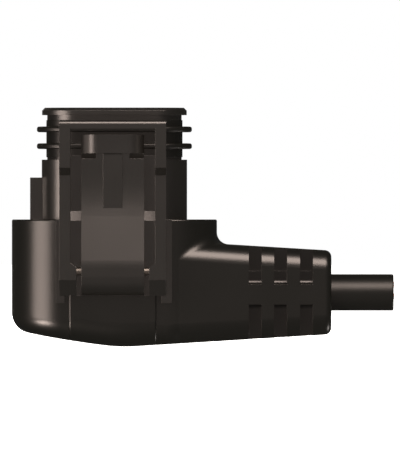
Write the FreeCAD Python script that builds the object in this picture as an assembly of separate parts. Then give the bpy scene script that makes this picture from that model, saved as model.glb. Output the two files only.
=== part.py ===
import FreeCAD, Part
import math
import os

os.makedirs("parts", exist_ok=True)
V = FreeCAD.Vector

# Frame: origin on the barrel axis at the mating face, +Z out of the mating face,
# +X towards the cable, -Y towards the latch. Millimetres.

# Barrel, a rounded rectangle in plan
lip_half_w = 14.14
lip_half_d = 7.0
lip_corner = 6.5
lip_height = 1.42
lip_chamfer = 0.55
neck_inset = 1.0
neck_height = 1.0
sleeve_half_w = 13.31
sleeve_setback = 0.83
sleeve_height = 7.23
sleeve_wall = 1.2
barrel_wall = 1.2
shoulder_gap = 0.5
shoulder_half_w = 14.2
shoulder_overhang = 0.06
shoulder_height = 11.68
rib_reach = 1.84
rib_width = 1.1
rib_tip = 0.42
upper_rib_drop = 4.22
rib_pitch = 3.28
key_reach = 2.27
key_half_d = 2.2
key_height = 8.2

# Contacts
contact_pitch = 8.0
pin_bore_r = 1.55
contact_wall = 0.5
contact_top_drop = 1.3
bore_depth = 15.8
contact_floor = 1.6
crimp_length = 7.0
crimp_wall = 0.55
contact_slot = 0.4
contact_slot_length = 9.0
mouth_r = 1.8
insert_recess = 0.5
fit = 0.05
tool_overrun = 1.0

# Cable: three cores in a round sheath
cable_r = 3.56
cable_drop = 36.08
cable_end = 54.56
cable_edge = 0.3
core_r = 1.28
strand_r = 0.64
core_gap = 0.03
core_end_gap = 0.2
core_entry_bend = 4.0
core_bend = 5.0
core_ease = 8.0
core_dip = 2.05
earth_turn_x = 7.0
neutral_turn_x = 10.0
neutral_dip_x = 5.0
middle_share = 0.6

# Moulded body
body_half_w = 20.04
body_half_d = 10.26
body_corner = 9.75
body_edge = 3.9
body_top_edge = 0.3
heel_angle = 10.1
heel_drop = 44.8
heel_x = -12.52
heel_round = 200.0
sole_blend = 35.0

# Arm around the cable
arm_ref_x = 13.2
arm_ref_half = 9.95
arm_taper = 3.47
arm_start = 9.0
arm_end = 42.37
arm_edge = 3.75
arm_end_edge = 1.3
arm_root_fillet = 2.34

# Strain relief windows in the arm
slot_starts = [26.25, 31.2, 36.25]
slot_width = 2.5
relief_core_half = 4.2
relief_web_half = 1.95
relief_web_drop = 0.4
relief_fillet = 0.88

# Raised panel on the front of the body
panel_left = -8.81
panel_right = 8.23
panel_raise = 0.35
panel_edge = 0.33
panel_root = 0.5
panel_sole_edge = 4.6

# Base of the housing inside the body
base_half_w = 16.0
base_half_d = 7.0
base_corner = 5.0
base_depth = 20.6
base_wall = 1.5
base_roof = 2.0
chamber_half_d = 4.9

# Latch tower on the front of the housing
latch_x = -0.25
tower_half_w = 10.4
leg_width = 2.15
tower_top_drop = 2.5
bar_height = 2.0
bar_top_round = 0.8
bar_low_round = 0.45
socket_gap = 2.5
catch_space = 5.2
plate_wall = 1.5
plate_inset = 0.5
plate_top_drop = 9.3
ledge_top_drop = 20.22
ledge_height = 1.82
ledge_reach = 1.14
leg_step_top_drop = 11.78
leg_step_height = 1.48
leg_step_reach = 2.2
toe_cut_height = 3.02
toe_cut_depth = 2.2
pad_left = -11.35
pad_right = 11.27
pad_raise = 0.6
pad_root = 1.0
pad_foot_drop = 38.12
pad_foot_left = 1.66
pad_foot_right = 2.05
bearing_half_gap = 7.09
bearing_cut_height = 0.75
bearing_cut_width = 1.05

# Hinge
pivot_drop = 31.95
hinge_pin_r = 0.8
hinge_pin_inset = 0.35
pin_press = 0.01
pin_running = 0.05
pocket_step = 0.1
pocket_wide_top_drop = 31.15
pocket_clear = 0.3

# Lever
lever_half_w = 6.12
lever_top_drop = 5.32
lever_wall = 1.4
lever_clear = 0.25
flare_angle = 8.25
flare_start_drop = 13.16
flare_end_drop = 21.2
flare_straight_drop = 29.8
flare_blend_height = 1.5
knuckle_r = 1.9
toe_drop = 36.64
toe_r = 3.7
head_height = 3.63
head_reach = 0.35
head_depth = 3.3
head_corner = 4.1
head_side_cut = 0.9
notch_height = 1.04
notch_half_gap = 3.25
notch_top_cut = 0.3
notch_low_cut = 1.2
stem_half_w = 1.91
stem_raise = 0.375
stem_bottom_drop = 19.9

# Return spring around the hinge pin
spring_wire_r = 0.2
spring_coil_r = 1.12
spring_turns = 5
spring_pitch = 0.5
spring_leg = 3.0
spring_bay_half_w = 2.0
spring_bay_front = 2.0
spring_bay_floor = 0.4


# Derived heights, down from the mating face
neck_z = -lip_height
sleeve_z = neck_z - neck_height
sleeve_end_z = sleeve_z - sleeve_height
shoulder_z = sleeve_end_z - shoulder_gap
body_top_z = shoulder_z - shoulder_height
cable_z = -cable_drop
pivot_z = -pivot_drop
base_z = body_top_z - base_depth
toe_z = -toe_drop
toe_centre_z = toe_z + toe_r
taper_slope = math.tan(math.radians(arm_taper))


def solid_of(shape):
    clean = shape.removeSplitter()
    solids = clean.Solids
    if len(solids) == 1:
        return solids[0]
    return clean


def block(x0, x1, y0, y1, z0, z1):
    return Part.makeBox(x1 - x0, y1 - y0, z1 - z0, V(x0, y0, z0))


def edges_along(shape, axis):
    found = []
    for edge in shape.Edges:
        if len(edge.Vertexes) < 2:
            continue
        run = edge.Vertexes[1].Point - edge.Vertexes[0].Point
        if run.Length > 1e-6 and abs(abs(run.normalize().dot(axis)) - 1.0) < 1e-6:
            found.append(edge)
    return found


def edges_at_height(shape, z):
    found = []
    for edge in shape.Edges:
        box = edge.BoundBox
        if abs(box.ZMin - z) < 1e-4 and abs(box.ZMax - z) < 1e-4:
            found.append(edge)
    return found


# Rounded rectangle in plan between two heights
def plan_block(half_w, half_d, corner, z0, z1):
    body = block(-half_w, half_w, -half_d, half_d, z0, z1)
    return body.makeFillet(corner, edges_along(body, V(0, 0, 1)))


# The lip's plan, moved in by one distance all round
def lip_slice(inset, z0, z1):
    return plan_block(lip_half_w - inset, lip_half_d - inset, lip_corner - inset, z0, z1)


# The sleeve's plan, moved in by one distance all round
def sleeve_slice(inset, z0, z1):
    return plan_block(sleeve_half_w - inset, sleeve_half_d - inset, sleeve_corner - inset, z0, z1)


# Closed outline of (a, b) points laid in a plane and pushed along its normal
def prism(points, place, push):
    corners = [place(a, b) for a, b in points]
    face = Part.Face(Part.makePolygon(corners + [corners[0]]))
    return face.extrude(push)


def cylinder_x(r, x0, x1, y, z):
    return Part.makeCylinder(r, x1 - x0, V(x0, y, z), V(1, 0, 0))


def cylinder_z(r, x, z0, z1):
    return Part.makeCylinder(r, z1 - z0, V(x, 0, z0), V(0, 0, 1))


# Round bar along straight runs joined by tangent arcs
def bent_bar(points, bends, r):
    parts = []
    start = points[0]
    for i in range(1, len(points) - 1):
        u = (points[i] - points[i - 1]).normalize()
        v = (points[i + 1] - points[i]).normalize()
        half = u.getAngle(v) / 2
        back = bends[i - 1] * math.tan(half)
        a = points[i] - u * back
        b = points[i] + v * back
        inward = (v - u).normalize()
        mid = points[i] + inward * (bends[i - 1] / math.cos(half) - bends[i - 1])
        if (a - start).Length > 1e-6:
            parts.append(Part.LineSegment(start, a).toShape())
        parts.append(Part.Arc(a, mid, b).toShape())
        start = b
    parts.append(Part.LineSegment(start, points[-1]).toShape())
    path = Part.Wire(parts)
    first = (points[1] - points[0]).normalize()
    ring = Part.Wire([Part.Circle(points[0], first, r).toShape()])
    return path.makePipeShell([ring], True, False)


def arm_half(x):
    return arm_ref_half - (x - arm_ref_x) * taper_slope


# Housing: barrel, base inside the body, pad and latch tower in one moulding
sleeve_half_d = lip_half_d - sleeve_setback
sleeve_corner = lip_corner - sleeve_setback
cavity_inset = sleeve_wall + barrel_wall

lip = lip_slice(0, -lip_height, 0)
lip = lip.makeChamfer(lip_chamfer, edges_at_height(lip, 0))
neck = lip_slice(neck_inset, sleeve_z, neck_z)
seat = sleeve_slice(sleeve_wall, sleeve_end_z, sleeve_z)
lower_neck = lip_slice(neck_inset, shoulder_z, sleeve_end_z)
shoulder = plan_block(shoulder_half_w, lip_half_d + shoulder_overhang, lip_corner + shoulder_overhang,
                      body_top_z, shoulder_z)
key = block(-shoulder_half_w - key_reach, -shoulder_half_w + lip_corner,
            -key_half_d, key_half_d, body_top_z, body_top_z + key_height)
base = plan_block(base_half_w, base_half_d, base_corner, base_z, body_top_z)

# Front pad that shows through the body, with a foot at each lower corner
pad_out = body_half_d + pad_raise
pad_points = [
    (pad_left, body_top_z), (pad_right, body_top_z), (pad_right, -pad_foot_drop),
    (pad_right - pad_foot_right, -pad_foot_drop), (pad_right - pad_foot_right, toe_z),
    (pad_left + pad_foot_left, toe_z), (pad_left + pad_foot_left, -pad_foot_drop),
    (pad_left, -pad_foot_drop)]
pad = prism(pad_points, lambda a, b: V(a, -pad_out, b), V(0, pad_out - base_half_d + pad_root, 0))

# Depths in front of the barrel's axis, from the socket's wall outwards
plate_back = lip_half_d + socket_gap
plate_front = plate_back + plate_wall
low_floor = plate_front + ledge_reach
bar_back = lip_half_d + catch_space
lever_back = bar_back
face_out = lever_back + lever_wall
pocket_floor = plate_back + pocket_step
pivot_out = pocket_floor + pocket_clear + knuckle_r

# The lever's face flares forward below its stem, and its toe and the legs end flush
face_turn = math.radians(flare_angle)
flare_r = (flare_end_drop - flare_start_drop) / math.sin(face_turn)
flare_top_gain = flare_r * (1 - math.cos(face_turn))
flare_run_gain = (flare_straight_drop - flare_end_drop) * math.tan(face_turn)
blend_r = flare_blend_height / math.sin(face_turn)
blend_gain = blend_r * (1 - math.cos(face_turn))
knuckle_out = face_out + flare_top_gain + flare_run_gain + blend_gain
leg_low_out = knuckle_out
leg_high_out = knuckle_out + leg_step_reach

# Tower: plate with its ledge, two legs, cross bar, two bearing blocks
left = latch_x - tower_half_w
right = latch_x + tower_half_w
tower_top = -tower_top_drop
plate_points = [
    (plate_back, -plate_top_drop), (plate_front, -plate_top_drop), (plate_front, -ledge_top_drop),
    (low_floor, -ledge_top_drop - ledge_height), (low_floor, toe_z), (plate_back, toe_z)]
plate_w = 2 * (tower_half_w - plate_inset)
plate = prism(plate_points, lambda a, b: V(left + plate_inset, -a, b), V(plate_w, 0, 0))


def tower_leg(x0, x1):
    step_top = -leg_step_top_drop
    step_low = step_top - leg_step_height
    outline = [
        (plate_back, tower_top), (leg_high_out, tower_top), (leg_high_out, step_top),
        (leg_low_out, step_low), (leg_low_out, toe_z), (plate_back, toe_z)]
    return prism(outline, lambda a, b: V(x0, -a, b), V(x1 - x0, 0, 0))


legs = tower_leg(left, left + leg_width).fuse(tower_leg(right - leg_width, right))

bar = block(left, right, -leg_high_out, -bar_back, tower_top - bar_height, tower_top)
bar_brow = [e for e in edges_along(bar, V(1, 0, 0))
            if abs(e.CenterOfMass.y + leg_high_out) < 1e-4 and e.CenterOfMass.z < tower_top - 1e-4]
bar = bar.makeFillet(bar_low_round, bar_brow)


def bearing(side):
    inner = latch_x + side * bearing_half_gap
    outer = latch_x + side * (tower_half_w - plate_inset)
    top = -pocket_wide_top_drop
    outline = [
        (inner, toe_z), (outer, toe_z), (outer, top + bearing_cut_height),
        (latch_x + side * (bearing_half_gap + bearing_cut_width), top + bearing_cut_height),
        (inner, top)]
    return prism(outline, lambda a, b: V(a, -leg_low_out, b), V(0, leg_low_out - plate_back, 0))


tower = plate.fuse([legs, bar, bearing(-1), bearing(1)])

# Sloping faces at the lower front of the legs and bearing blocks
toe_slope = toe_cut_height / toe_cut_depth
toe_cut = prism(
    [(leg_low_out - toe_cut_depth - tool_overrun, toe_z - tool_overrun * toe_slope),
     (leg_low_out + tool_overrun, toe_z + toe_cut_height + tool_overrun * toe_slope),
     (leg_low_out + tool_overrun, toe_z - tool_overrun * toe_slope)],
    lambda a, b: V(left, -a, b), V(2 * tower_half_w, 0, 0))
tower = tower.cut(toe_cut).removeSplitter()
bar_top = [e for e in tower.Edges
           if abs(e.CenterOfMass.y + leg_high_out) < 1e-4 and abs(e.CenterOfMass.z - tower_top) < 1e-4]
tower = tower.makeFillet(bar_top_round, bar_top)

# Pocket behind the lever's knuckle, and the bay for the spring
pocket = block(latch_x - bearing_half_gap, latch_x + bearing_half_gap,
               -leg_low_out - tool_overrun, -pocket_floor, toe_z, -pocket_wide_top_drop)
pocket_high = block(latch_x - lever_half_w - pocket_clear, latch_x + lever_half_w + pocket_clear,
                    -leg_low_out - tool_overrun, -pocket_floor, toe_z, pivot_z + knuckle_r + pocket_clear)

housing = lip.fuse([neck, seat, lower_neck, shoulder, key, base, pad, tower])
housing = housing.cut(pocket.fuse(pocket_high))

# Cavity for the insert and chamber for the bent cores
insert_end_z = body_top_z - base_roof
cavity = sleeve_slice(cavity_inset, insert_end_z, tool_overrun)
chamber_half_w = base_half_w - base_wall
chamber = plan_block(chamber_half_w, chamber_half_d, base_corner - base_wall,
                     base_z + base_wall, insert_end_z)
cable_hole = cylinder_x(cable_r + core_gap, 0, base_half_w + tool_overrun, 0, cable_z)
pin_bore = cylinder_x(hinge_pin_r + pin_press, left + hinge_pin_inset, right + hinge_pin_inset,
                      -pivot_out, pivot_z)
housing = housing.cut(cavity.fuse(chamber).fuse(cable_hole))
housing = solid_of(housing.cut(pin_bore))
housing.exportStep("parts/barrel_housing.step")
print("housing", housing.isValid(), len(housing.Solids), round(housing.Volume, 1))

# Seal sleeve with two ribs, seated between the lip's neck and the shoulder
sleeve = sleeve_slice(0, sleeve_end_z, sleeve_z)
for n in range(2):
    mid = -upper_rib_drop - n * rib_pitch
    rib = sleeve_slice(-rib_reach, mid - rib_width / 2, mid + rib_width / 2)
    tips = edges_at_height(rib, mid - rib_width / 2) + edges_at_height(rib, mid + rib_width / 2)
    sleeve = sleeve.fuse(rib.makeFillet(min(rib_tip, rib_width * 0.45), tips))
seat_hole = sleeve_slice(sleeve_wall, sleeve_end_z - tool_overrun, sleeve_z + tool_overrun)
sleeve = solid_of(sleeve.cut(seat_hole))
sleeve.exportStep("parts/seal_sleeve.step")
print("sleeve", sleeve.isValid(), len(sleeve.Solids), round(sleeve.Volume, 1))

# Insert that holds the three contacts
contact_r = pin_bore_r + contact_wall
contact_xs = {"neutral": -contact_pitch, "earth": 0.0, "line": contact_pitch}
insert = sleeve_slice(cavity_inset + fit, insert_end_z, -insert_recess)
for x in contact_xs.values():
    insert = insert.cut(cylinder_z(contact_r + fit, x, insert_end_z, -contact_top_drop))
    insert = insert.cut(cylinder_z(mouth_r, x, -contact_top_drop, 0))
insert = solid_of(insert)
insert.exportStep("parts/contact_insert.step")
print("insert", insert.isValid(), len(insert.Solids), round(insert.Volume, 1))

# Sprung tube contacts with a crimp at the lower end
contact_top = -contact_top_drop
bore_floor = contact_top - bore_depth
crimp_top = bore_floor - contact_floor
crimp_end = crimp_top - crimp_length
for name, x in contact_xs.items():
    contact = cylinder_z(contact_r, x, crimp_top, contact_top)
    contact = contact.fuse(cylinder_z(strand_r + crimp_wall, x, crimp_end, crimp_top))
    contact = contact.cut(cylinder_z(pin_bore_r, x, bore_floor, contact_top))
    contact = contact.cut(cylinder_z(strand_r + core_gap, x, crimp_end, crimp_top))
    reach = contact_r + tool_overrun
    half_slot = contact_slot / 2
    slot_low = contact_top - contact_slot_length
    contact = contact.cut(block(x - reach, x + reach, -half_slot, half_slot, slot_low, contact_top))
    contact = contact.cut(block(x - half_slot, x + half_slot, -reach, reach, slot_low, contact_top))
    contact = solid_of(contact)
    contact.exportStep("parts/contact_%s.step" % name)
    print("contact", name, contact.isValid(), len(contact.Solids), round(contact.Volume, 1))

# Cable: sheath with three cores, each core turned up to its contact
sheath_entry = chamber_half_w
lay_r = (core_r + core_gap) * 2 / math.sqrt(3)
low_dz = lay_r / 2
side_dy = lay_r * math.sqrt(3) / 2
core_end_z = crimp_end - core_end_gap
strand_end_z = crimp_top
low_z = cable_z - low_dz
dip_z = low_z - core_dip
routes = {
    "line": ([V(cable_end, 0, cable_z + lay_r), V(contact_pitch, 0, cable_z + lay_r)],
             [core_entry_bend]),
    "earth": ([V(cable_end, -side_dy, low_z), V(earth_turn_x, -side_dy, low_z), V(0, 0, low_z)],
              [core_ease, core_bend]),
    "neutral": ([V(cable_end, side_dy, low_z), V(neutral_turn_x, side_dy, low_z),
                 V(neutral_dip_x, side_dy, dip_z), V(-contact_pitch, 0, dip_z)],
                [core_ease, core_ease, core_bend]),
}
core_tools = {}
for name, (points, bends) in routes.items():
    x = contact_xs[name]
    wide = bent_bar(points + [V(x, 0, core_end_z)], bends, core_r)
    strand = bent_bar(points + [V(x, 0, strand_end_z)], bends, strand_r)
    hollow = bent_bar(points + [V(x, 0, strand_end_z)], bends, strand_r + core_gap)
    core_tools[name] = bent_bar(points + [V(x, 0, core_end_z)], bends, core_r + core_gap)
    core = solid_of(wide.cut(hollow))
    core.exportStep("parts/core_%s.step" % name)
    strand = solid_of(strand)
    strand.exportStep("parts/conductor_%s.step" % name)
    print("core", name, core.isValid(), len(core.Solids), round(core.Volume, 1),
          strand.isValid(), round(strand.Volume, 1), "bends", bends)

sheath = cylinder_x(cable_r, sheath_entry, cable_end, 0, cable_z)
rim = [e for e in sheath.Edges if abs(e.BoundBox.XMin - cable_end) < 1e-4]
sheath = sheath.makeFillet(cable_edge, rim)
for name in routes:
    sheath = sheath.cut(core_tools[name])
middle_r = lay_r * middle_share
sheath = sheath.cut(cylinder_x(middle_r, sheath_entry - tool_overrun, cable_end + tool_overrun, 0, cable_z))
sheath = solid_of(sheath)
sheath.exportStep("parts/cable_sheath.step")
print("sheath", sheath.isValid(), len(sheath.Solids), round(sheath.Volume, 1))

# Inner moulding that fills the chamber around the crimps and the bent cores
inner = plan_block(chamber_half_w - fit, chamber_half_d - fit, base_corner - base_wall - fit,
                   base_z + base_wall + fit, insert_end_z - fit)
for name, x in contact_xs.items():
    inner = inner.cut(core_tools[name])
    inner = inner.cut(cylinder_z(strand_r + crimp_wall + core_gap, x, core_end_z, insert_end_z))
inner = inner.Solids[0]
inner.exportStep("parts/inner_moulding.step")
print("inner", inner.isValid(), len(inner.Solids), round(inner.Volume, 1))

# Overmoulded body: block with a raised heel that is part of a large round, tapered arm, panel
heel_turn = math.radians(heel_angle)
heel_centre = (heel_x + heel_round * math.sin(heel_turn), -heel_drop + heel_round * math.cos(heel_turn))


def heel_height(x):
    return heel_centre[1] - math.sqrt(heel_round ** 2 - (x - heel_centre[0]) ** 2)


def sole_line(x):
    return cable_z - arm_half(x)


# Where the heel's round meets the sole
fall = sole_line(0) - heel_centre[1]
half_sum = taper_slope * fall - heel_centre[0]
rest = heel_centre[0] ** 2 + fall ** 2 - heel_round ** 2
meet_x = (-half_sum - math.sqrt(half_sum ** 2 - (1 + taper_slope ** 2) * rest)) / (1 + taper_slope ** 2)
heel_mid_x = (meet_x - body_half_w) / 2


def side_block(half_d):
    outline = [
        (-body_half_w, heel_height(-body_half_w)), (-body_half_w, body_top_z), (body_half_w, body_top_z),
        (body_half_w, sole_line(body_half_w)), (meet_x, sole_line(meet_x))]
    corners = [V(x, -half_d, z) for x, z in outline]
    edges = [Part.LineSegment(p, q).toShape() for p, q in zip(corners, corners[1:])]
    edges.append(Part.Arc(corners[-1], V(heel_mid_x, -half_d, heel_height(heel_mid_x)), corners[0]).toShape())
    piece = Part.Face(Part.Wire(edges)).extrude(V(0, 2 * half_d, 0))
    low = [e for e in edges_along(piece, V(0, 1, 0)) if abs(e.CenterOfMass.x - meet_x) < 1e-4]
    return piece.makeFillet(sole_blend, low)


body_low = cable_z - arm_ref_half - heel_drop
body = side_block(body_half_d + panel_raise + tool_overrun)
body = body.common(plan_block(body_half_w, body_half_d, body_corner, body_low, body_top_z))


# Four-sided bar along X that tapers the same way in height and depth
def tapered_bar(x0, x1):
    a = arm_half(x0)
    b = arm_half(x1)
    side = prism([(x0, cable_z - a), (x1, cable_z - b), (x1, cable_z + b), (x0, cable_z + a)],
                 lambda x, z: V(x, -a, z), V(0, 2 * a, 0))
    plan = prism([(x0, -a), (x1, -b), (x1, b), (x0, a)],
                 lambda x, y: V(x, y, cable_z - a), V(0, 0, 2 * a))
    return side.common(plan)


def lies_on(shape, edge):
    mid = edge.valueAt((edge.FirstParameter + edge.LastParameter) / 2)
    return min(face.distToShape(Part.Vertex(mid))[0] for face in shape.Faces) < 1e-5


# Edges around the faces that look down
def sole_edges(shape):
    counts = {}
    for face in shape.Faces:
        u0, u1, v0, v1 = face.ParameterRange
        if face.normalAt((u0 + u1) / 2, (v0 + v1) / 2).z > -0.9:
            continue
        for edge in face.Edges:
            key_of = edge.hashCode()
            counts.setdefault(key_of, []).append(edge)
    return [found[0] for found in counts.values() if len(found) == 1]


arm = tapered_bar(arm_start, arm_end)
crown = [e for e in arm.Edges if e.BoundBox.XLength > 1 and e.CenterOfMass.z > cable_z]
arm = arm.makeFillet(arm_edge, crown)
moulding = body.fuse(arm).removeSplitter()
root = [e for e in moulding.Edges if lies_on(body, e) and lies_on(arm, e)]
moulding = moulding.makeFillet(arm_root_fillet, root)
low = [e for e in sole_edges(moulding) if e.BoundBox.XMin < arm_end - 0.01]
moulding = moulding.makeFillet(body_edge, low)
end = [e for e in moulding.Edges if e.BoundBox.XMin > arm_end - 0.01]
moulding = moulding.makeFillet(arm_end_edge, end)
top = edges_at_height(moulding, body_top_z)
moulding = moulding.makeFillet(body_top_edge, top)
print("moulding", moulding.isValid(), len(moulding.Solids), round(moulding.Volume, 1))

# Raised panel below the lever, with a larger round into the sole
panel_out = body_half_d + panel_raise
panel_back = body_half_d - panel_sole_edge - panel_root
panel_space = block(panel_left, panel_right, -panel_out - tool_overrun, -panel_back, body_low, toe_z)
panel = side_block(panel_out).common(panel_space)
sole_front = [e for e in sole_edges(panel) if abs(e.CenterOfMass.y + panel_out) < 1e-4]
panel = panel.makeFillet(panel_sole_edge, sole_front)
sides = [e for e in edges_along(panel, V(0, 0, 1)) if abs(e.CenterOfMass.y + panel_out) < 1e-4]
panel = panel.makeFillet(panel_edge, sides)
moulding = moulding.cut(panel_space).fuse(panel)

# Four windows in each slot leave a square core and four webs, the side ones a little below the cable's axis
def relief_window(x0, y_side, z_side):
    far = arm_ref_half + tool_overrun
    web = relief_web_half
    half = relief_core_half
    side_web = web - z_side * relief_web_drop
    outline = [(web, far), (far, far), (far, side_web), (half, side_web), (half, half), (web, half)]
    window = prism(outline, lambda y, z: V(x0, y_side * y, cable_z + z_side * z), V(slot_width, 0, 0))
    roots = []
    for e in edges_along(window, V(1, 0, 0)):
        y = abs(e.CenterOfMass.y)
        z = abs(e.CenterOfMass.z - cable_z)
        if abs(y - half) < 1e-4 and abs(z - side_web) < 1e-4:
            roots.append(e)
    return window.makeFillet(relief_fillet, roots)


for x0 in slot_starts:
    for y_side in (-1, 1):
        for z_side in (-1, 1):
            moulding = moulding.cut(relief_window(x0, y_side, z_side))
moulding = moulding.cut(base.fuse(pad))
moulding = moulding.cut(cylinder_x(cable_r, base_half_w - tool_overrun, arm_end + tool_overrun, 0, cable_z))
moulding = moulding.Solids[0]
moulding.exportStep("parts/overmould.step")
print("overmould", moulding.isValid(), len(moulding.Solids), round(moulding.Volume, 1))

# Lever: one outline along the hinge below a rounded head, with a stem rib
lever_top = -lever_top_drop
head_low = lever_top - head_height
stem_out = face_out + stem_raise
head_out = stem_out + head_reach
lever_low_back = low_floor + lever_clear
ledge_share = (lever_back - lever_clear - plate_front) / ledge_reach
ledge_z = -ledge_top_drop - ledge_height * ledge_share
knuckle_top = pivot_z + knuckle_r


def lever_point(out, z):
    return V(latch_x - lever_half_w, -out, z)


def lever_line(a, b):
    return Part.LineSegment(lever_point(*a), lever_point(*b)).toShape()


def lever_arc(a, b, c):
    return Part.Arc(lever_point(*a), lever_point(*b), lever_point(*c)).toShape()


half_turn = face_turn / 2
flare_mid = (face_out + flare_r * (1 - math.cos(half_turn)),
             -flare_start_drop - flare_r * math.sin(half_turn))
flare_end = (face_out + flare_top_gain, -flare_end_drop)
straight_end = (flare_end[0] + flare_run_gain, -flare_straight_drop)
blend_end = (knuckle_out, -flare_straight_drop - flare_blend_height)
blend_mid = (knuckle_out - blend_r * (1 - math.cos(half_turn)), blend_end[1] + blend_r * math.sin(half_turn))
toe_mid = (knuckle_out - toe_r + toe_r * math.sqrt(0.5), toe_centre_z - toe_r * math.sqrt(0.5))
toe_end = (knuckle_out - toe_r, toe_z)
back_point = (pivot_out - knuckle_r, pivot_z)
back_mid = (pivot_out - knuckle_r * math.sqrt(0.5), pivot_z + knuckle_r * math.sqrt(0.5))
outline = [
    lever_line((lever_back, head_low), (face_out, head_low)),
    lever_line((face_out, head_low), (face_out, -flare_start_drop)),
    lever_arc((face_out, -flare_start_drop), flare_mid, flare_end),
    lever_line(flare_end, straight_end),
    lever_arc(straight_end, blend_mid, blend_end),
    lever_line(blend_end, (knuckle_out, toe_centre_z)),
    lever_arc((knuckle_out, toe_centre_z), toe_mid, toe_end),
    lever_line(toe_end, back_point),
    lever_arc(back_point, back_mid, (pivot_out, knuckle_top)),
    lever_line((pivot_out, knuckle_top), (lever_low_back, knuckle_top)),
    lever_line((lever_low_back, knuckle_top), (lever_low_back, -ledge_top_drop - ledge_height)),
    lever_line((lever_low_back, -ledge_top_drop - ledge_height), (lever_back, ledge_z)),
    lever_line((lever_back, ledge_z), (lever_back, head_low)),
]
lever = Part.Face(Part.Wire(outline)).extrude(V(2 * lever_half_w, 0, 0))

# Head with round front corners cut off at its sides: its back stands behind the arm and catches on the socket
round_half_w = lever_half_w + head_side_cut
head = block(latch_x - round_half_w, latch_x + round_half_w, -head_out, -head_out + 2 * head_corner,
             head_low, lever_top)
head_edges = [e for e in edges_along(head, V(0, 0, 1)) if abs(e.CenterOfMass.y + head_out) < 1e-4]
head = head.makeFillet(head_corner, head_edges)
head = head.common(block(latch_x - lever_half_w, latch_x + lever_half_w, -head_out, -head_out + head_depth,
                         head_low, lever_top))
stem = block(latch_x - stem_half_w, latch_x + stem_half_w, -stem_out, -lever_back,
             -stem_bottom_drop, head_low)

# Hollow round between the stem and the head
brow_in = head_reach * (1 - math.sqrt(0.5))
brow_low = head_low - head_reach
brow_outline = [
    lever_line((face_out, head_low), (head_out, head_low)),
    lever_arc((head_out, head_low), (stem_out + brow_in, head_low - brow_in), (stem_out, brow_low)),
    lever_line((stem_out, brow_low), (face_out, brow_low)),
    lever_line((face_out, brow_low), (face_out, head_low)),
]
brow = Part.Face(Part.Wire(brow_outline)).extrude(V(2 * stem_half_w, 0, 0))
brow.translate(V(lever_half_w - stem_half_w, 0, 0))
lever = lever.fuse([head, stem, brow])
notch_low = head_low - notch_height
notch_points = [(leg_high_out, head_low), (face_out - notch_top_cut, head_low),
                (face_out - notch_low_cut, notch_low), (leg_high_out, notch_low)]
for side in (-1, 1):
    notch = prism(notch_points, lambda a, b: V(latch_x + side * notch_half_gap, -a, b),
                  V(side * tower_half_w, 0, 0))
    lever = lever.cut(notch)
bay_low = pivot_z - spring_leg - spring_bay_floor
bay = block(latch_x - spring_bay_half_w, latch_x + spring_bay_half_w,
            -pivot_out - spring_bay_front, -pocket_floor, bay_low, knuckle_top)
lever = lever.cut(bay)
lever = lever.cut(cylinder_x(hinge_pin_r + pin_running, left, right, -pivot_out, pivot_z))
lever = solid_of(lever)
lever.exportStep("parts/latch_lever.step")
print("lever", lever.isValid(), len(lever.Solids), round(lever.Volume, 1))

# Hinge pin pressed into the bearing blocks
pin = cylinder_x(hinge_pin_r, left + hinge_pin_inset + fit, right - hinge_pin_inset, -pivot_out, pivot_z)
pin.exportStep("parts/hinge_pin.step")

# Torsion spring: a coil around the pin, one leg on the lever, one on the housing
coil_length = (spring_turns + 0.5) * spring_pitch
coil_x = latch_x - coil_length / 2
helix = Part.makeHelix(spring_pitch, coil_length, spring_coil_r)
helix.rotate(V(0, 0, 0), V(0, 1, 0), 90)
helix.rotate(V(0, 0, 0), V(1, 0, 0), 90)
helix.translate(V(coil_x, -pivot_out, pivot_z))
rise = spring_pitch / (2 * math.pi)
coil_start = V(coil_x, -pivot_out + spring_coil_r, pivot_z)
coil_end = V(coil_x + coil_length, -pivot_out - spring_coil_r, pivot_z)
up = V(rise, 0, spring_coil_r).normalize()
down = V(rise, 0, -spring_coil_r).normalize()
tail = coil_start - up * spring_leg
wire_path = Part.Wire([
    Part.LineSegment(tail, coil_start).toShape(),
    helix.Edges[0],
    Part.LineSegment(coil_end, coil_end + down * spring_leg).toShape()])
wire_ring = Part.Wire([Part.Circle(tail, up, spring_wire_r).toShape()])
spring = wire_path.makePipeShell([wire_ring], True, False)
spring.exportStep("parts/return_spring.step")
wire_volume = wire_path.Length * math.pi * spring_wire_r ** 2
print("spring", spring.isValid(), round(spring.Volume, 3), round(wire_volume, 3))
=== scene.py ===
import bpy
import bmesh
import math
import random
from mathutils import Matrix, Vector


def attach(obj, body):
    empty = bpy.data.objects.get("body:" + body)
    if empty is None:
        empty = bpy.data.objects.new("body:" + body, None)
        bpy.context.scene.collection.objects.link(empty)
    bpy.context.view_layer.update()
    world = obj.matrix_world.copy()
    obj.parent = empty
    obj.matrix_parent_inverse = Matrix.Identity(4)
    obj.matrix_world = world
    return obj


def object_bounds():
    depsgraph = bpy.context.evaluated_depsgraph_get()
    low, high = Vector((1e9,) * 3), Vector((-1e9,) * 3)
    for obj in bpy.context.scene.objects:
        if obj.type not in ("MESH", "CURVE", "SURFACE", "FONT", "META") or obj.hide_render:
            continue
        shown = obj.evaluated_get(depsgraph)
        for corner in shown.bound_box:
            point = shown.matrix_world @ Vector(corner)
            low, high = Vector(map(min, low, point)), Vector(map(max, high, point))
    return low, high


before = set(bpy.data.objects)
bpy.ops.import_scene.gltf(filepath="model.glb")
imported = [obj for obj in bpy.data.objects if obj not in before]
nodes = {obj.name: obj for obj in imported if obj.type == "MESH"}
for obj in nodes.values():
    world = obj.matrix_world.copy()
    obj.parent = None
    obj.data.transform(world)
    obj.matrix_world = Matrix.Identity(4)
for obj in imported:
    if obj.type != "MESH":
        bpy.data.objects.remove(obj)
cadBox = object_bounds()
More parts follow.
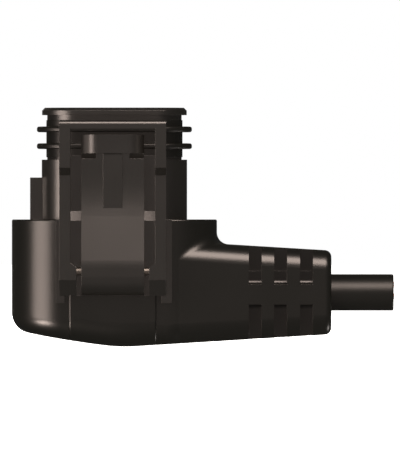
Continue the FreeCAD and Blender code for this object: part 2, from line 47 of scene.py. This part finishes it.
mm = 0.001
print("frame loaded:", len(nodes), "nodes")


def hexToLinear(code):
    values = [int(code[i:i + 2], 16) / 255 for i in (1, 3, 5)]
    return [v / 12.92 if v <= 0.04045 else ((v + 0.055) / 1.055) ** 2.4 for v in values] + [1.0]


def addNode(tree, kind, settings=None, links=None):
    node = tree.nodes.new(kind)
    for key, value in (settings or {}).items():
        if isinstance(key, str) and hasattr(node, key):
            setattr(node, key, value)
        else:
            node.inputs[key].default_value = value
    for key, source in (links or {}).items():
        tree.links.new(source, node.inputs[key])
    return node


viewSettings = {
    "pixelMm": 0.195,           # millimetres a pixel, from the round cable
    "axisPx": (114.2, 107.5),   # where the barrel axis meets the mating face
    "framePx": (400, 450),
    "sensorMm": 36.0,
    "lens": 1200.0,             # long, as the photo shows no perspective
    "planeMm": -8.0,            # depth that keeps its scale
    "clipEnd": 100.0,
}


def makeCamera(s):
    data = bpy.data.cameras.new("productCamera")
    data.lens = s["lens"]
    data.sensor_width = s["sensorMm"]
    data.clip_end = s["clipEnd"]
    high = s["framePx"][1] * s["pixelMm"] * mm   # the frame is taller than wide, so the sensor spans its height
    away = high * s["lens"] / s["sensorMm"]
    x = (s["framePx"][0] / 2 - s["axisPx"][0]) * s["pixelMm"] * mm
    z = -(s["framePx"][1] / 2 - s["axisPx"][1]) * s["pixelMm"] * mm
    camera = bpy.data.objects.new("productCamera", data)
    camera.location = (x, s["planeMm"] * mm - away, z)
    camera.rotation_euler = (math.pi / 2, 0, 0)
    bpy.context.scene.collection.objects.link(camera)
    bpy.context.scene.camera = camera
    return Vector((x, s["planeMm"] * mm, z))


viewCentre = makeCamera(viewSettings)

floorSettings = {"half": 6.0, "colour": "#f7f6f4", "rough": 0.9, "glow": 1.1}   # half is in metres


def makeFloor(s):
    bm = bmesh.new()
    bmesh.ops.create_grid(bm, x_segments=1, y_segments=1, size=s["half"])
    bmesh.ops.translate(bm, verts=bm.verts, vec=(0, 0, cadBox[0][2]))
    mesh = bpy.data.meshes.new("paleFloor")
    bm.to_mesh(mesh)
    bm.free()
    floor = bpy.data.objects.new("paleFloor", mesh)
    bpy.context.scene.collection.objects.link(floor)
    paper = bpy.data.materials.new("paleBackdropPaper")
    paper.use_nodes = True
    shader = paper.node_tree.nodes["Principled BSDF"]
    shader.inputs["Base Color"].default_value = hexToLinear(s["colour"])
    shader.inputs["Roughness"].default_value = s["rough"]
    shader.inputs["Emission Color"].default_value = hexToLinear(s["colour"])
    shader.inputs["Emission Strength"].default_value = s["glow"]
    mesh.materials.append(paper)
    floor.visible_glossy = False   # the underside of the part stays dark, as in the photo
    floor.visible_diffuse = False


makeFloor(floorSettings)

# Name, direction towards the light, distance in m, width and height in m, watts, colour, and what it lights:
# the sheen of the plastic or the fill on its dull colour
lightSettings = [
    ("topSoftbox", (0.20, -0.71, 0.67), 0.9, (0.60, 0.60), 11.0, "#ffeade", "sheen"),
    ("leftStripbox", (-0.754, -0.654, -0.064), 0.9, (0.74, 0.24), 4.7, "#ffeade", "sheen"),
    ("lowLeftSpot", (-0.680, -0.541, -0.495), 0.9, (0.52, 0.20), 7.8, "#ffeade", "sheen"),
    ("lowRightRim", (0.62, 0.22, -0.70), 0.9, (0.26, 0.26), 1.8, "#fff6f0", "sheen"),
    ("backFill", (-0.35, 0.85, 0.40), 0.9, (0.80, 0.80), 22.0, "#fffaf4", "fill"),
]


def makeLights(rows):
    for name, direction, away, size, watts, colour, work in rows:
        data = bpy.data.lights.new(name, "AREA")
        data.shape = "ELLIPSE"
        data.size, data.size_y = size
        data.energy = watts
        data.color = hexToLinear(colour)[:3]
        data.use_shadow = False   # the photo's light casts no shadow
        lamp = bpy.data.objects.new(name, data)
        lamp.visible_diffuse = work == "fill"
        lamp.visible_glossy = work == "sheen"
        ray = Vector(direction).normalized()
        lamp.location = viewCentre + ray * away
        lamp.rotation_euler = ray.to_track_quat("Z", "Y").to_euler()
        bpy.context.scene.collection.objects.link(lamp)


makeLights(lightSettings)

# White behind the part, dark in its reflections, and an even light on its dull colour
skySettings = {"seen": 1.0, "sheen": 0.03, "fill": 0.62}


def makeSky(s):
    world = bpy.data.worlds.new("studioSky")
    bpy.context.scene.world = world
    world.use_nodes = True
    tree = world.node_tree
    tree.nodes.clear()
    ray = addNode(tree, "ShaderNodeLightPath")
    soft = addNode(tree, "ShaderNodeMix", {"data_type": "FLOAT", 2: s["fill"], 3: s["sheen"]},
                   {0: ray.outputs["Is Glossy Ray"]})
    strength = addNode(tree, "ShaderNodeMix", {"data_type": "FLOAT", 3: s["seen"]},
                       {0: ray.outputs["Is Camera Ray"], 2: soft.outputs[0]})
    back = addNode(tree, "ShaderNodeBackground", {"Color": (1, 1, 1, 1)}, {"Strength": strength.outputs[0]})
    addNode(tree, "ShaderNodeOutputWorld", links={"Surface": back.outputs[0]})


makeSky(skySettings)
bpy.context.scene.view_settings.view_transform = "Standard"
print("camera, floor and light ready")


def startMaterial(name):
    material = bpy.data.materials.new(name)
    material.use_nodes = True
    material.node_tree.nodes.clear()
    return material, material.node_tree


def dress(nodeNames, material):
    for nodeName in nodeNames:
        mesh = nodes[nodeName].data
        mesh.materials.clear()
        mesh.materials.append(material)


# Plastic out of a textured mould: satin, a fine even grain, faint flow clouds, edges rubbed a little smoother
# and painted lighter, partly as wear and partly as a painted highlight.
# A real mould grain is about 0.1 mm, and it is drawn two to four times as coarse, so that it shows.
plasticSettings = {
    "cloudDetail": 3.0, "grainDetail": 2.0, "grainRough": 0.6,
    "grainDepth": 0.3,                    # as a share of the grain's width
    "edgeSamples": 6,
    "rubAndHighlightStarts": 0.97, "rubAndHighlightFull": 0.75,   # how far the rounded edge still agrees with the flat one
}


def mouldedPlastic(name, s):
    material, tree = startMaterial(name)
    place = addNode(tree, "ShaderNodeTexCoord")
    cloud = addNode(tree, "ShaderNodeTexNoise",
                    {"Scale": 1 / (s["cloudMm"] * mm), "Detail": plasticSettings["cloudDetail"]},
                    {"Vector": place.outputs["Object"]})
    tint = addNode(tree, "ShaderNodeMix",
                   {"data_type": "RGBA", 6: hexToLinear(s["dark"]), 7: hexToLinear(s["light"])},
                   {0: cloud.outputs["Fac"]})
    grain = addNode(tree, "ShaderNodeTexNoise",
                    {"Scale": 1 / (s["grainMm"] * mm), "Detail": plasticSettings["grainDetail"],
                     "Roughness": plasticSettings["grainRough"]},
                    {"Vector": place.outputs["Object"]})
    edge = addNode(tree, "ShaderNodeBevel",
                   {"samples": plasticSettings["edgeSamples"], "Radius": s["edgeMm"] * mm})
    plain = addNode(tree, "ShaderNodeNewGeometry")
    agreement = addNode(tree, "ShaderNodeVectorMath", {"operation": "DOT_PRODUCT"},
                        {0: edge.outputs["Normal"], 1: plain.outputs["Normal"]})
    rubAndHighlightMask = addNode(tree, "ShaderNodeMapRange",
                     {"From Min": plasticSettings["rubAndHighlightStarts"], "From Max": plasticSettings["rubAndHighlightFull"],
                      "To Min": 0.0, "To Max": 1.0},
                     {"Value": agreement.outputs["Value"]})
    # Lighter colour on the rounded edges: partly rubbed wear, partly a painted highlight
    edgeWearAndHighlight = addNode(tree, "ShaderNodeMix", {"data_type": "RGBA", 7: hexToLinear(s["edgeWearAndHighlight"])},
                   {0: rubAndHighlightMask.outputs["Result"], 6: tint.outputs[2]})
    spread = addNode(tree, "ShaderNodeMapRange",
                     {"To Min": s["rough"] - s["roughSpread"], "To Max": s["rough"] + s["roughSpread"]},
                     {"Value": cloud.outputs["Fac"]})
    smooth = addNode(tree, "ShaderNodeMath", {"operation": "MULTIPLY", 1: s["rubbedRough"]},
                     {0: rubAndHighlightMask.outputs["Result"]})
    rough = addNode(tree, "ShaderNodeMath", {"operation": "SUBTRACT"},
                    {0: spread.outputs["Result"], 1: smooth.outputs[0]})
    bump = addNode(tree, "ShaderNodeBump",
                   {"Strength": s["bump"], "Distance": s["grainMm"] * mm * plasticSettings["grainDepth"]},
                   {"Height": grain.outputs["Fac"], "Normal": edge.outputs["Normal"]})
    shader = addNode(tree, "ShaderNodeBsdfPrincipled", {"IOR": s["ior"]},
                     {"Base Color": edgeWearAndHighlight.outputs[2], "Roughness": rough.outputs[0],
                      "Normal": bump.outputs["Normal"]})
    addNode(tree, "ShaderNodeOutputMaterial", links={"Surface": shader.outputs[0]})
    return material


# The worn colour of each look is its lighter edge colour: partly rubbed wear, partly a painted highlight
# Glass-filled nylon, injection moulded: a warm near-black with a satin sheen
housingLook = {"dark": "#28241d", "light": "#2c2721", "edgeWearAndHighlight": "#36312a", "cloudMm": 6.0, "grainMm": 0.30,
               "rough": 0.325, "roughSpread": 0.012, "rubbedRough": 0.03, "bump": 0.05, "edgeMm": 0.06,
               "ior": 1.72}
# Soft PVC moulded over the housing: darker, the same sheen
overmouldLook = {"dark": "#211f18", "light": "#24211b", "edgeWearAndHighlight": "#2d2a23", "cloudMm": 9.0, "grainMm": 0.35,
                 "rough": 0.32, "roughSpread": 0.012, "rubbedRough": 0.03, "bump": 0.05, "edgeMm": 0.03,
                 "ior": 1.52}
# Silicone, compression moulded: duller and even
sealLook = {"dark": "#211f18", "light": "#24211b", "edgeWearAndHighlight": "#2d2a23", "cloudMm": 3.0, "grainMm": 0.22,
            "rough": 0.38, "roughSpread": 0.015, "rubbedRough": 0.03, "bump": 0.05, "edgeMm": 0.08,
            "ior": 1.43}
# Round PVC sheath, extruded: a little duller again
sheathLook = {"dark": "#211f18", "light": "#24211b", "edgeWearAndHighlight": "#2d2a23", "cloudMm": 5.0, "grainMm": 0.25,
              "rough": 0.39, "roughSpread": 0.015, "rubbedRough": 0.03, "bump": 0.05, "edgeMm": 0.06,
              "ior": 1.39}
dress(["barrel_housing", "latch_lever", "contact_insert"], mouldedPlastic("mouldedNylon", housingLook))
dress(["overmould", "inner_moulding"], mouldedPlastic("overmouldedPvc", overmouldLook))
dress(["seal_sleeve"], mouldedPlastic("mouldedSilicone", sealLook))
dress(["cable_sheath"], mouldedPlastic("extrudedPvc", sheathLook))
print("plastics ready")

# Turned, drawn or ground metal: fine lines one way, from the tool, the die or the wheel
metalSettings = {"detail": 3.0, "lineRough": 0.6, "roughSpread": 0.06, "bump": 0.15, "depthMm": 0.02}


def drawnMetal(name, s):
    material, tree = startMaterial(name)
    place = addNode(tree, "ShaderNodeTexCoord")
    scale = [1 / (v * mm) for v in s["lineMm"]]
    along = addNode(tree, "ShaderNodeMapping", {"Scale": scale}, {"Vector": place.outputs["Object"]})
    lines = addNode(tree, "ShaderNodeTexNoise",
                    {"Scale": 1.0, "Detail": metalSettings["detail"], "Roughness": metalSettings["lineRough"]},
                    {"Vector": along.outputs["Vector"]})
    tint = addNode(tree, "ShaderNodeMix",
                   {"data_type": "RGBA", 6: hexToLinear(s["dark"]), 7: hexToLinear(s["light"])},
                   {0: lines.outputs["Fac"]})
    rough = addNode(tree, "ShaderNodeMapRange",
                    {"To Min": s["rough"] - metalSettings["roughSpread"],
                     "To Max": s["rough"] + metalSettings["roughSpread"]},
                    {"Value": lines.outputs["Fac"]})
    bump = addNode(tree, "ShaderNodeBump",
                   {"Strength": metalSettings["bump"], "Distance": metalSettings["depthMm"] * mm},
                   {"Height": lines.outputs["Fac"]})
    shader = addNode(tree, "ShaderNodeBsdfPrincipled", {"Metallic": 1.0},
                     {"Base Color": tint.outputs[2], "Roughness": rough.outputs["Result"],
                      "Normal": bump.outputs["Normal"]})
    addNode(tree, "ShaderNodeOutputMaterial", links={"Surface": shader.outputs[0]})
    return material


# Size of a line along x, y and z: it runs along z on the contacts, along x on the conductors, and round the pin
brassLook = {"dark": "#b8954a", "light": "#d9b96c", "lineMm": (0.08, 0.08, 3.0), "rough": 0.28}
copperLook = {"dark": "#b06a44", "light": "#e09a70", "lineMm": (3.0, 0.06, 0.06), "rough": 0.30}
pinLook = {"dark": "#595652", "light": "#686561", "lineMm": (0.05, 1.5, 1.5), "rough": 0.42}
springLook = {"dark": "#7e7c79", "light": "#a5a39f", "lineMm": (0.06, 0.6, 0.6), "rough": 0.30}
dress(["contact_line", "contact_neutral", "contact_earth"], drawnMetal("turnedBrass", brassLook))
copper = drawnMetal("drawnCopper", copperLook)
dress(["conductor_line", "conductor_neutral", "conductor_earth"], copper)
dress(["hinge_pin"], drawnMetal("groundSteel", pinLook))
dress(["return_spring"], drawnMetal("springSteel", springLook))

# Insulation pressed onto the core: semi-gloss, with faint lines along it, and for earth a yellow upper half
insulationSettings = {"lineMm": (4.0, 0.12, 0.12), "detail": 2.0, "bump": 0.12, "depthMm": 0.03,
                      "rough": 0.34, "ior": 1.52}


def extrudedInsulation(name, s):
    material, tree = startMaterial(name)
    place = addNode(tree, "ShaderNodeTexCoord")
    scale = [1 / (v * mm) for v in insulationSettings["lineMm"]]
    along = addNode(tree, "ShaderNodeMapping", {"Scale": scale}, {"Vector": place.outputs["Object"]})
    lines = addNode(tree, "ShaderNodeTexNoise", {"Scale": 1.0, "Detail": insulationSettings["detail"]},
                    {"Vector": along.outputs["Vector"]})
    tint = addNode(tree, "ShaderNodeMix",
                   {"data_type": "RGBA", 6: hexToLinear(s["dark"]), 7: hexToLinear(s["light"])},
                   {0: lines.outputs["Fac"]})
    colour = tint.outputs[2]
    if "stripe" in s:
        centre = addNode(tree, "ShaderNodeMapping", {"Location": [-v * mm for v in s["axisMm"]]},
                         {"Vector": place.outputs["Object"]})
        split = addNode(tree, "ShaderNodeSeparateXYZ", links={0: centre.outputs["Vector"]})
        side = addNode(tree, "ShaderNodeMath", {"operation": "GREATER_THAN", 1: 0.0}, {0: split.outputs["Z"]})
        stripe = addNode(tree, "ShaderNodeMix", {"data_type": "RGBA", 7: hexToLinear(s["stripe"])},
                         {0: side.outputs[0], 6: colour})
        colour = stripe.outputs[2]
    bump = addNode(tree, "ShaderNodeBump",
                   {"Strength": insulationSettings["bump"], "Distance": insulationSettings["depthMm"] * mm},
                   {"Height": lines.outputs["Fac"]})
    shader = addNode(tree, "ShaderNodeBsdfPrincipled",
                     {"IOR": insulationSettings["ior"], "Roughness": insulationSettings["rough"]},
                     {"Base Color": colour, "Normal": bump.outputs["Normal"]})
    addNode(tree, "ShaderNodeOutputMaterial", links={"Surface": shader.outputs[0]})
    return material


brownLook = {"dark": "#4a2413", "light": "#5c2f19"}
blueLook = {"dark": "#1c52a6", "light": "#2963bd"}
earthLook = {"dark": "#2b7a35", "light": "#348c40", "stripe": "#d9c21f", "axisMm": (0.0, -1.31, -36.84)}
dress(["core_line"], extrudedInsulation("brownInsulation", brownLook))
dress(["core_neutral"], extrudedInsulation("blueInsulation", blueLook))
dress(["core_earth"], extrudedInsulation("greenYellowInsulation", earthLook))
print("metals and cores ready")

# Cut ends of the copper strands, 19 to a conductor, packed in six-sided rings around one in the middle
strandSettings = {
    "strandR": 0.118, "pitch": 0.245, "rings": (1, 2), "corners": 6, "segments": 10,
    "out": (0.02, 0.14), "sunk": 0.5,   # how far an end stands out of the cut, and how deep it starts
    "tilt": 0.05, "bevelMm": 0.04, "bevelSegments": 2, "seed": 7,
    "endX": 54.56, "axesMm": [(0.0, -34.567), (-1.31, -36.836), (1.31, -36.836)],   # y and z of each core
}


def makeStrandEnds(s):
    rng = random.Random(s["seed"])
    turn = 360 / s["corners"]
    bm = bmesh.new()
    for y0, z0 in s["axesMm"]:
        spots = [(0.0, 0.0)]
        for ring in s["rings"]:
            for k in range(s["corners"] * ring):
                corner, step = divmod(k, ring)
                a = math.radians(turn * corner)
                b = math.radians(turn * (corner + 1))
                share = step / ring
                spots.append((ring * s["pitch"] * (math.cos(a) * (1 - share) + math.cos(b) * share),
                              ring * s["pitch"] * (math.sin(a) * (1 - share) + math.sin(b) * share)))
        for y, z in spots:
            out = rng.uniform(*s["out"])
            length = (s["sunk"] + out) * mm
            made = bmesh.ops.create_cone(bm, cap_ends=True, segments=s["segments"], radius1=s["strandR"] * mm,
                                         radius2=s["strandR"] * mm, depth=length)
            verts = made["verts"]
            lean = Matrix.Rotation(rng.uniform(-s["tilt"], s["tilt"]), 4, "X") \
                @ Matrix.Rotation(math.pi / 2 + rng.uniform(-s["tilt"], s["tilt"]), 4, "Y")
            bmesh.ops.transform(bm, matrix=lean, verts=verts)
            middle = Vector(((s["endX"] + out) * mm - length / 2, (y0 + y) * mm, (z0 + z) * mm))
            bmesh.ops.translate(bm, verts=verts, vec=middle)
            tip = [e for e in {e for v in verts for e in v.link_edges}
                   if all(v.co.x > middle.x for v in e.verts)]
            bmesh.ops.bevel(bm, geom=tip, offset=s["bevelMm"] * mm, affect="EDGES",
                            segments=s["bevelSegments"], profile=0.5, material=-1)
    mesh = bpy.data.meshes.new("strandEnds")
    bm.to_mesh(mesh)
    bm.free()
    mesh.shade_smooth()
    mesh.materials.append(copper)
    ends = bpy.data.objects.new("strandEnds", mesh)
    bpy.context.scene.collection.objects.link(ends)
    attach(ends, "connector")


makeStrandEnds(strandSettings)
print("strand ends ready")
